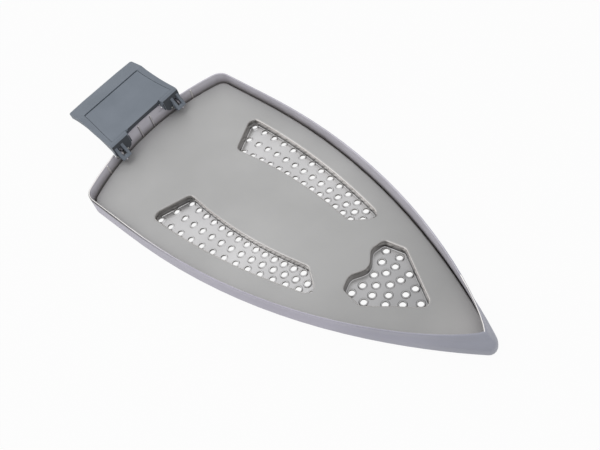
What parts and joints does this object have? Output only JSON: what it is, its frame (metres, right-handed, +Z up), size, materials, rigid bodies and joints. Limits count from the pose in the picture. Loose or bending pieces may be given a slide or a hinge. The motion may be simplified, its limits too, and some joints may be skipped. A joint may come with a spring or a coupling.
{
  "type": "iron shoe cover",
  "caption": "Slip-on sole for a household iron: pressed metal tray with an inner plate, sunk steam pockets and a sprung latch lever at the heel.",
  "frame": {"origin": "on the table under the middle of the whole part, on its centre line", "axes": "+X runs from the heel to the nose, +Z up out of the open tray, +Y completes the right-handed set"},
  "size_m": [0.29, 0.1216, 0.0292],
  "materials": {
    "tray": "satin anodised, lavender grey",
    "plate": "bare satin",
    "lever": "fine matte moulded, blue grey",
    "cover": "fine matte moulded, blue grey",
    "steel": "plain drawn wire and ground pin"
  },
  "bodies": {
    "tray": {"sole_shell": "tray", "inner_plate": "plate", "latch_spring_left": "steel", "latch_spring_right": "steel"},
    "latch": {"release_lever": "lever", "lever_cover": "cover", "hinge_pin_left": "steel", "hinge_pin_right": "steel"}
  },
  "joints": [
    {"name": "latch_hinge", "type": "hinge", "parent": "tray", "child": "latch", "pos_m": [-0.10145, 0, 0.013], "axis": [0, -1, 0], "range_deg": [0, 20], "stiffness_Nm_per_rad": 0.3, "springref_deg": -28.65, "deforming": ["latch_spring_left", "latch_spring_right"]}
  ]
}
